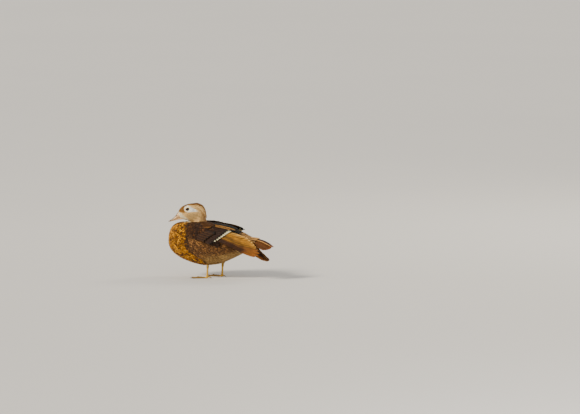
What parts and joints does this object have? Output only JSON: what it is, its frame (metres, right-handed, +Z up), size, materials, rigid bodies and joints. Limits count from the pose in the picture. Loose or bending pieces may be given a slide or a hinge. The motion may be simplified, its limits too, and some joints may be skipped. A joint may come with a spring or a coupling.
{
  "type": "wood duck",
  "caption": "Life-size still model of a hen wood duck, standing on flat webbed feet with folded, slightly drooped wings and a fanned tail.",
  "frame": {"origin": "on the floor under the middle of the bird's box", "axes": "the bird faces -X, its left side is at -Y, +Z up"},
  "size_m": [0.3006, 0.1292, 0.2036],
  "materials": {
    "body_plumage": "soft overlapping body feathers, ochre breast with dark streaks, brown back",
    "head_plumage": "short grey-buff feathers, white round the eye and on the throat",
    "bill": "smooth grey horn with a paler edge and a dark nail",
    "eye": "dark brown glossy eye in a yellow ring",
    "tail_feathers": "smooth rufous-brown vanes",
    "wing_feathers": "smooth dark vanes with a bronze and blue gloss, white tips on the secondaries",
    "legs": "scaled ochre-yellow skin with dusky webs"
  },
  "bodies": {
    "root": {"torso": "body_plumage", "neck": "body_plumage", "head": "head_plumage", "bill_upper": "bill", "bill_lower": "bill", "eye_left": "eye", "eye_right": "eye", "tail": "tail_feathers", "wing_left": "wing_feathers", "wing_right": "wing_feathers", "thigh_left": "body_plumage", "thigh_right": "body_plumage", "shank_left": "legs", "shank_right": "legs", "foot_left": "legs", "foot_right": "legs"}
  },
  "joints": []
}
